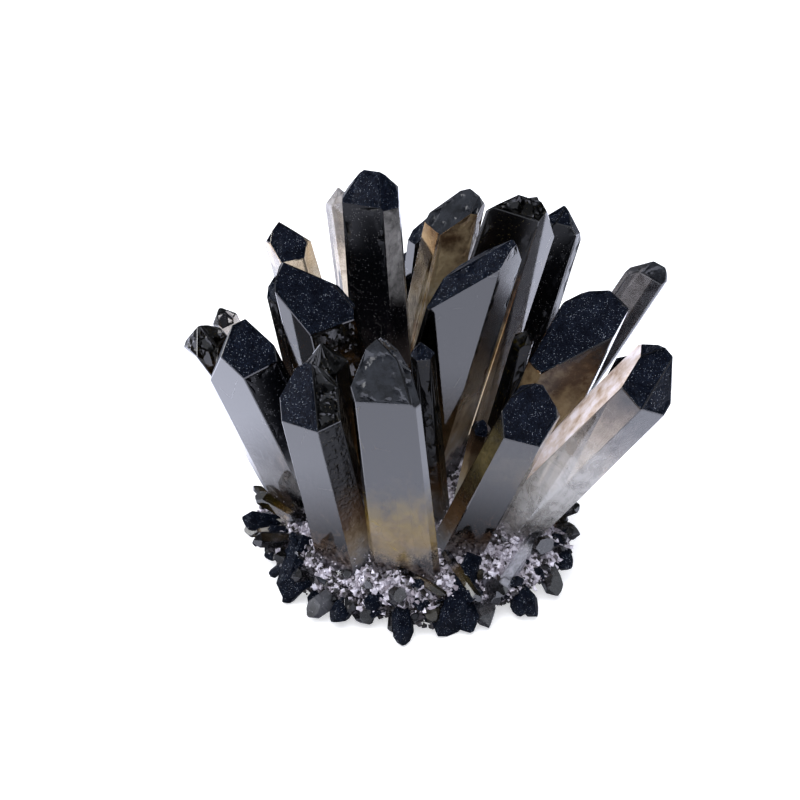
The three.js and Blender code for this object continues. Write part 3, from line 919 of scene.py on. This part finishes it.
def rock_point(p):
    """Where a point of the unit ball goes on the rock."""
    height = ROCK["crown"] * (p.z * p.z) ** CROWN_ROUNDNESS if p.z > 0 else ROCK["underside"] * p.z
    lump = (math.sin(5.3 * p.x + 2 * p.z) * math.sin(4.7 * p.y + 1)
            + 0.6 * math.sin(11 * p.x - 9 * p.y + 7 * p.z)
            + 0.5 * math.sin(13 * p.x + 17 * p.y + 2) * math.cos(15 * p.z))
    swell = 1 + LUMP_HEIGHT * lump / ROCK["half_width"]
    x = ROCK["x"] + ROCK["half_width"] * swell * p.x
    y = ROCK["y"] + ROCK["half_depth"] * swell * p.y
    z = ROCK["rim"] + height
    if z > ROCK["rim"]:
        gap_squared = (x - MOUND["x"]) ** 2 + (y - MOUND["y"]) ** 2
        z += MOUND["height"] * math.exp(-gap_squared / MOUND["radius"] ** 2)
    z += 0.6 * LUMP_HEIGHT * lump
    place = Vector((x, y, z))
    crumb = abs(noise.noise(place / CRUMB_SIZE)) + 0.5 * abs(noise.noise(place * 2.3 / CRUMB_SIZE))
    place += p * CRUMB_HEIGHT * (0.3 - 2 * crumb)
    return Vector((place.x, place.y, max(0, place.z))) * MM + MOVED


def make_rock():
    """The lump as one fine mesh."""
    bm = bmesh.new()
    bmesh.ops.create_icosphere(bm, subdivisions=ROCK_SUBDIVISIONS, radius=1)
    for v in bm.verts:
        v.co = rock_point(v.co)
    bm.normal_update()
    mesh = bpy.data.meshes.new("rock")
    bm.to_mesh(mesh)
    bm.free()
    return mesh


rock_mesh = make_rock()
print("rock faces:", len(rock_mesh.polygons))

# %% [markdown]
# ## The crust
# Sugary quartz and feldspar cover the rock, pale lilac with dark specks of iron and clay. Each grain has
# broken faces at its own angles, so the eye gets a dry white sparkle between small shadows. The mesh
# tells the material how pale each grain is, and a fine noise varies that within the grain. Towards the
# flat cut the crust is dark.

# %% Crust material
CRUST_GRAIN = 0.9 * MM
DARK_BELOW, PALE_ABOVE = 4, 9


def crust():
    """Pale grains of quartz and feldspar that break with small bright faces."""
    made, tree, place = material("sugary quartz crust")
    shade = node(tree, "Attribute", {"attribute_name": "shade"}).outputs["Fac"]
    fine = node(tree, "TexNoise", Vector=place, Scale=1 / CRUST_GRAIN, Detail=3)
    mixed = node(tree, "Math", TIMES_PLUS, i0=fine, i1=0.5, i2=shade)
    lilac = ((0.25, "1c1817"), (0.55, "7c757e"), (1.0, "d4d0dc"))
    colour = node(tree, "ValToRGB", stops=lilac, Fac=mixed)
    relief = node(tree, "Bump", Height=fine, Strength=0.6, Distance=0.2 * MM)
    shader = node(tree, "BsdfPrincipled", Base_Color=colour, Roughness=0.4, IOR=1.54, Normal=relief)
    node(tree, "OutputMaterial", Surface=shader)
    return made


sugar = crust()
heights = np.array([v.co.z for v in rock_mesh.vertices]) / MM
give(rock_mesh, "shade", np.clip((heights - DARK_BELOW) / (PALE_ABOVE - DARK_BELOW), 0, 1) * 0.5)
piece("crust", rock_mesh, [sugar], "matrix", "matrix_rock")
print("share of the rock that is pale:", round(float((heights > PALE_ABOVE).mean()), 2))

# %% [markdown]
# ## What is near what
# Grains lie on the rock but not inside crystals. Testing every grain against every face would take
# minutes. A tree of the faces finds the nearest one at once, and a point is inside when it is behind that
# face.

# %% Looking up what is near
def inside_any(tree, point):
    """Whether a point is inside the crystals that the tree holds."""
    near, normal, _, _ = tree.find_nearest(point)
    return (point - near).dot(normal) < 0


def tree_of(meshes):
    corners, faces = [], []
    for mesh in meshes:
        start = len(corners)
        corners += [v.co.copy() for v in mesh.vertices]
        faces += [[start + v for v in f.vertices] for f in mesh.polygons]
    return BVHTree.FromPolygons(corners, faces)


def on_the_rock(rng, count, keep):
    """Points spread evenly over the faces of the rock for which keep(place, normal) is true."""
    areas = np.array([f.area for f in rock_mesh.polygons])
    picks = rng.choice(len(areas), size=4 * count, p=areas / areas.sum())
    found = []
    for pick in picks:
        face = rock_mesh.polygons[pick]
        place = Vector(face.center)
        if keep(place, face.normal):
            found.append((place, Vector(face.normal)))
        if len(found) == count:
            break
    return found


crystal_tree = tree_of([c.data for c in crystals])
rock_tree = tree_of([rock_mesh])
middle_of_rock = MOVED + Vector((0, 0, 12 * MM))
print("the rock's middle is inside a crystal:", inside_any(crystal_tree, middle_of_rock))

# %% [markdown]
# ## The young crystals in front
# Twenty of the young crystals round the rim can be told apart in the photograph. Each was placed by its
# foot, its tip and its radius in millimetres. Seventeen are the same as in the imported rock. The three
# slimmest, the needles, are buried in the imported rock, so here they are 3 to 10 mm further forward and
# up, where they lie on top of the crust, and the grains leave them bare.

# %% Young crystals in front and needles
FRONT_YOUNG = [
    ((-29, -8, 12), (-40.5, -2.5, 16), 1.6), ((-29, -7, 9), (-43.5, -9, 9), 1.9),
    ((-28, -20, 9), (-31.5, -30.5, 2), 2.8), ((-26, -20, 8), (-34.5, -19.5, 7), 2.6),
    ((-19, -28, 8), (-27, -25.5, 4), 1.8), ((-17, -31, 6), (-26.5, -36.5, 2), 2.2),
    ((-14, -31, 6), (-19.5, -40.5, 2), 2.1), ((-15, -32, 6), (-9.5, -40, 2), 2.2),
    ((-3, -31, 7), (-2, -48, 1.5), 1.9), ((13, -29, 9), (6.5, -45.5, 1.5), 3.7),
    ((9, -28, 8), (14.5, -43, 1.5), 2.6), ((14, -27, 8), (19.5, -41, 1.5), 2.1),
    ((30, -18.6, 12.5), (19, -38.7, 7), 1.3), ((21, -24, 7), (31.5, -36.5, 2), 2.1),
    ((27, -24, 6), (26, -37, 2), 1.9), ((31, -17, 8), (36.5, -29, 2.5), 2.0),
    ((34, -8, 9), (43.5, -11, 9.5), 1.7), ((33, -14, 8), (41, -20.5, 5), 2.0),
    ((0, -35.7, 14), (8.5, -39.6, 10), 0.8), ((10, -30.3, 13.5), (16.5, -40.2, 9), 0.9),
]
NEEDLES = [FRONT_YOUNG[i] for i in (12, 18, 19)]
NEEDLE_CLEARANCE = 1.1 * MM


def buries_a_needle(place):
    """Whether a grain here would cover one of the needles."""
    for foot, tip, radius in NEEDLES:
        start, end = Vector(foot) * MM + MOVED, Vector(tip) * MM + MOVED
        share = intersect_point_line(place, start, end)[1]
        near = start.lerp(end, min(1, max(0, share)))
        if (place - near).length < radius * MM + NEEDLE_CLEARANCE:
            return True
    return False


print("young crystals in front:", len(FRONT_YOUNG), "of them needles:", len(NEEDLES))

# %% [markdown]
# ## Grains
# In the photograph most grains look half a millimetre to one millimetre across. Here they reach two, a
# little coarser, because finer ones would take too many triangles. A particle system would scatter them
# with one click, but particles don't export, so the grains are one mesh. Each is the convex hull of a few
# random points, in eight forms, turned and stretched its own way. Small grains are the commonest. Where
# the crust is thick, grains pile up in drifts a few millimetres high, and iron and clay darken it in
# patches.

# %% Scatter the grains
GRAIN_FORMS = 8
GRAIN_CORNERS = 9
GRAIN_COUNT = 13500
GRAIN_RADIUS = (0.32, 1.05)
GRAIN_STRETCH = (0.8, 1.7)
DARK_SHARE = 0.28
PATCH_SIZE = 3 * MM
DRIFT_HEIGHT = 5 * MM
DRIFT_SIZE = 9 * MM
# Added to the noise that heaps the drifts, so that they cover a little over half of the rock.
DRIFT_SPREAD = 0.1
# A grain's middle is over the rock by this share of its radius.
GRAIN_LIFT = 0.3
DARK_SHADES, PALE_SHADES = (-0.2, 0.1), (0.25, 0.8)
# How much a patch, and how much the ground near the cut, adds to the share of dark grains.
PATCH_DARKENS, CUT_DARKENS = 0.5, 0.6
LEAST_UPWARD = -0.35
CUT_CLEARANCE = 0.9 * MM
GRAIN_SEED = 7


def random_turn(rng):
    """A turn by any angle about any axis."""
    axis = Vector(rng.normal(size=3)).normalized()
    return Matrix.Rotation(rng.uniform(0, 2 * math.pi), 3, axis)


def grain_form(rng):
    """The hull of a few points on a ball, as (corners, faces)."""
    points = rng.normal(size=(GRAIN_CORNERS, 3))
    points /= np.linalg.norm(points, axis=1)[:, None]
    return solid_hull([Vector(p) for p in points], 0)


def bare_rock(place, normal):
    """Whether grains can lie here: not under the rim, not on the cut and not inside a crystal."""
    above = normal.z > LEAST_UPWARD and place.z > CUT_CLEARANCE
    return above and not inside_any(crystal_tree, place)


def grain_on(place, normal):
    """A grain on the rock or up in a drift over a place, or nothing where it would bury a needle."""
    corners, faces = forms[rng.integers(GRAIN_FORMS)]
    radius = between(GRAIN_RADIUS, rng.random() ** 2) * MM
    stretch = Matrix.Diagonal((radius, radius, radius * rng.uniform(*GRAIN_STRETCH)))
    turned = np.array(random_turn(rng) @ stretch)
    drift = DRIFT_HEIGHT * max(0, noise.noise(place / DRIFT_SIZE) + DRIFT_SPREAD) * rng.random()
    middle = place + normal * (GRAIN_LIFT * radius + drift)
    grain = corners @ turned.T + np.array(middle)
    grain[:, 2] = np.maximum(grain[:, 2], 0)
    return None if buries_a_needle(middle) else (grain, faces)


def grain_shade(place):
    """Dark near the cut and in patches, pale elsewhere."""
    low = 1 - min(1, max(0, (place.z / MM - DARK_BELOW) / (PALE_ABOVE - DARK_BELOW)))
    patch = PATCH_DARKENS * noise.noise(place / PATCH_SIZE)
    is_dark = rng.random() < DARK_SHARE + patch + CUT_DARKENS * low
    return rng.uniform(*DARK_SHADES) if is_dark else rng.uniform(*PALE_SHADES)


rng = np.random.default_rng(GRAIN_SEED)
forms = [grain_form(rng) for _ in range(GRAIN_FORMS)]
grains, shades = [], []
for place, normal in on_the_rock(rng, GRAIN_COUNT, bare_rock):
    grain = grain_on(place, normal)
    if grain:
        grains.append(grain)
        shades.append(grain_shade(place))
grain_mesh = joined("crust_grains", grains, shade=shades)
piece("crust_grains", grain_mesh, [sugar], "matrix", "matrix_rock")
print("grains:", len(grains), "faces:", len(grain_mesh.polygons))

# %% [markdown]
# ## Sugar on the feet
# The crust grew while the crystals did, so it doesn't stop at them in a sharp line. Smaller grains sit on
# the lowest few millimetres of the crystals, and they get fewer and smaller further up.

# %% Places on the crystals
def on_the_crystals(rng, count):
    """Points spread evenly over the faces of all the crystals, with the way each face looks."""
    triangles, normals = [], []
    for one in crystals:
        one.data.calc_loop_triangles()
        corners = np.array([v.co for v in one.data.vertices])
        # A bevel leaves its faces in another order on each run, so they are sorted by their corners.
        in_order = sorted(one.data.loop_triangles, key=lambda t: sorted(t.vertices))
        triangles.append(corners[[sorted(t.vertices) for t in in_order]])
        normals.append(np.array([t.normal for t in in_order]))
    triangles, normals = np.concatenate(triangles), np.concatenate(normals)
    a, b, c = triangles[:, 0], triangles[:, 1], triangles[:, 2]
    areas = np.linalg.norm(np.cross(b - a, c - a), axis=1)
    picks = rng.choice(len(areas), size=count, p=areas / areas.sum())
    s, t = rng.random((2, count, 1))
    s, t = np.where(s + t > 1, 1 - s, s), np.where(s + t > 1, 1 - t, t)
    return a[picks] + s * (b - a)[picks] + t * (c - a)[picks], normals[picks]


sample_place = on_the_crystals(np.random.default_rng(0), 1)[0][0]
print("a place on a crystal:", [round(float(c) / MM, 1) for c in sample_place], "mm")

# %% [markdown]
# ## Fewer and smaller with height
# Places are tried all over the crystals. The further one is from the rock, the less often it is kept, and
# the smaller its grain.

# %% Scatter small grains on the feet
FOOT_GRAINS = 3500
FOOT_TRIES = 30
FOOT_REACH = 7 * MM
FOOT_TOP = 30 * MM
FOOT_GRAIN_RADIUS = (0.12, 0.5)
FOOT_GRAIN_LIFT = 0.2
# How fast the grains thin out: the lower, the nearer they keep to the rock.
FOOT_THINNING = 0.4
FOOT_SIZE_AT_ROCK = 1.2
FOOT_DARK_SHARE = 0.45
FOOT_PALE_SHADES = (0.3, 0.7)


def height_over_rock(place):
    """A place's distance to the rock as a share of the sugar's reach, or nothing inside the rock."""
    near, way, _, gap = rock_tree.find_nearest(Vector(place))
    return gap / FOOT_REACH if (Vector(place) - near).dot(way) >= 0 else None


foot_grains, foot_shades = [], []
for place, normal in zip(*on_the_crystals(rng, FOOT_TRIES * FOOT_GRAINS)):
    if place[2] > FOOT_TOP or len(foot_grains) == FOOT_GRAINS:
        continue
    height = height_over_rock(place)
    if height is None or rng.random() < height ** FOOT_THINNING:
        continue
    corners, faces = forms[rng.integers(GRAIN_FORMS)]
    radius = between(FOOT_GRAIN_RADIUS, rng.random() ** 2) * (FOOT_SIZE_AT_ROCK - height) * MM
    turned = np.array(random_turn(rng)) * radius
    foot_grains.append((corners @ turned.T + place + normal * FOOT_GRAIN_LIFT * radius, faces))
    is_dark = rng.random() < FOOT_DARK_SHARE
    foot_shades.append(rng.uniform(*DARK_SHADES) if is_dark else rng.uniform(*FOOT_PALE_SHADES))
foot_mesh = joined("crust_on_feet", foot_grains, shade=foot_shades)
piece("crust_on_feet", foot_mesh, [sugar], "matrix", "matrix_rock")
print("grains on the feet:", len(foot_grains))

# %% [markdown]
# ## Young crystals
# Stubby crystals bristle round the rim, most of them black and some clear or brown. Those of the ring
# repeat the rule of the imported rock, so they are where its solids are, and smaller ones fill in between
# them, square to the rock with some disorder. Many have dull faces or a druse of their own, as small late
# crystals often do.

# %% Where the young crystals are
UP = Vector((0, 0, 1))
RING_COUNT = 50
RING_HEIGHT = (3.5, 9.5)
RING_LENGTH = (8, 14)
RING_RISE = (-0.5, 0.9)
RING_OUTNESS = 0.83
RING_RADIUS = (1, 2.1)
SMALL_COUNT = 220
SMALL_LENGTH = (1.6, 5.5)
SMALL_SLENDERNESS = 1.4
SMALL_RADIUS = (0.35, 1.1)
SMALL_HEIGHT = (1.5 * MM, 10 * MM)
SMALL_LEAST_UPWARD = -0.5
SMALL_DISORDER = 0.45
YOUNG_SEED = 11


def ring_of_young():
    """Feet, tips and radii of the young crystals all round the rim, in millimetres."""
    for i in range(RING_COUNT):
        angle = (i + 0.6 * scatter(i, 0)) / RING_COUNT * 2 * math.pi
        out = Vector((math.cos(angle), math.sin(angle), 0))
        foot = Vector((ROCK["x"] + RING_OUTNESS * ROCK["half_width"] * out.x,
                       ROCK["y"] + RING_OUTNESS * ROCK["half_depth"] * out.y,
                       between(RING_HEIGHT, scatter(i, 1))))
        lean = (out + UP * between(RING_RISE, scatter(i, 2))).normalized()
        tip = foot + lean * between(RING_LENGTH, scatter(i, 3))
        yield foot, tip, between(RING_RADIUS, scatter(i, 4))


def on_the_rim(place, normal):
    """Whether the smallest crystals can stand here: low on the rock and outside the large crystals."""
    low, high = SMALL_HEIGHT
    on_rim = normal.z > SMALL_LEAST_UPWARD and low < place.z < high
    return on_rim and not inside_any(crystal_tree, place)


def small_young(rng):
    """Feet, tips and radii of the smallest crystals, in millimetres."""
    for place, normal in on_the_rock(rng, SMALL_COUNT, on_the_rim):
        lean = (normal + Vector(rng.normal(size=3)) * SMALL_DISORDER).normalized()
        size = rng.random() ** 1.5
        foot = (place - MOVED) / MM - lean
        tip = foot + lean * between(SMALL_LENGTH, size) * SMALL_SLENDERNESS
        yield foot, tip, between(SMALL_RADIUS, size)


placed = [(Vector(foot), Vector(tip), radius) for foot, tip, radius in FRONT_YOUNG]
placed += list(ring_of_young())
placed += list(small_young(np.random.default_rng(YOUNG_SEED)))
print("young crystals:", len(placed))

# %% [markdown]
# ## Smoke and skins of the young crystals
# They use the quartz of the large crystals, with numbers of their own, and most are smoky all through.
# Those that stand out in the photograph have their looks written down, by their place in the list, and
# the others draw theirs.

# %% Make the young crystals
# The numbers clear, warm and veil, by a young crystal's place in the list.
YOUNG_LOOKS = {0: (-0.2, 1.0, 0.3), 1: (0.6, 0.7, 0.7), 11: (-0.3, 0.0, 0.3), 12: (0.0, 0.0, 0.8),
               18: (-0.2, 0.8, 0.4), 19: (-0.5, 0.9, 0.4)}
# root sets the painted shade at their feet.
YOUNG_IN_COMMON = {"dark": 0.8, "root": 0.7, "veil_at": 0.5, "veil_span": 0.6, "patchy": 0.6}
YOUNG_CLEAR = (-3.0, -0.4)
YOUNG_WARM = 0.9
YOUNG_VEIL = 0.12
YOUNG_FINISHES = [quartz, etched, druse_skin]
YOUNG_SHARES = (0.4, 0.1, 0.5)
DRUSY_YOUNG = (9, 10, 13)
YOUNG_EDGE_WEAR = 0.08 * MM
YOUNG_ROOT = 4 * MM
YOUNG_UNEVENNESS = 0.25
BROADEST_END = 0.8


def young_solid(i, start, end, radius):
    """The i-th young crystal as (corners, faces), with one end face broader than the others."""
    broadest = math.floor(scatter(i, 5) * 6)
    sides = [radius * (1 + YOUNG_UNEVENNESS * scatter(i, 7 + k)) * MM for k in range(6)]
    ends = [(BROADEST_END * radius if k == broadest else 0) * MM for k in range(6)]
    planes = quartz_planes(start, end, math.radians(60 * scatter(i, 6)), sides, ends, YOUNG_ROOT)
    return solid_hull(corners_of(planes), YOUNG_EDGE_WEAR)


def young_looks(i):
    """The clear, warm and veil numbers of the i-th young crystal."""
    common = (between(YOUNG_CLEAR, scatter(i, 21)), YOUNG_WARM * scatter(i, 22) ** 2, YOUNG_VEIL)
    return YOUNG_LOOKS.get(i, common)


def young_finish(i):
    """Which of the finishes the i-th young crystal has."""
    if i in YOUNG_LOOKS:
        return YOUNG_FINISHES.index(quartz)
    if i in DRUSY_YOUNG:
        return YOUNG_FINISHES.index(druse_skin)
    return int(np.searchsorted(np.cumsum(YOUNG_SHARES), scatter(i, 23)))


def young_crystals():
    """All the young crystals in one mesh."""
    solids, finishes = [], []
    numbers = {key: [] for key in ("rise", "line", "clear", "warm", "veil", *YOUNG_IN_COMMON)}
    for i, (foot, tip, radius) in enumerate(placed):
        start, end = foot * MM + MOVED, tip * MM + MOVED
        corners, faces = young_solid(i, start, end, radius)
        along = (corners - np.array(start)) @ np.array((end - start).normalized())
        corners[:, 2] = np.maximum(corners[:, 2], 0)
        solids.append((corners, faces))
        finishes += [young_finish(i)] * len(faces)
        values = (along / (end - start).length, along, *young_looks(i), *YOUNG_IN_COMMON.values())
        for key, value in zip(numbers, values):
            numbers[key].append(value)
    mesh = joined("young_crystals", solids, **numbers)
    mesh.polygons.foreach_set("material_index", finishes)
    return mesh


young = young_crystals()
piece("young_crystals", young, YOUNG_FINISHES, "smoky_quartz", "matrix_rock")
print("young crystals:", len(young.polygons), "faces")

# %% [markdown]
# ## The end
# The last cell counts the pieces.

# %% Count of pieces
print("pieces:", len(crystals), "crystals, and four that dress the rock")
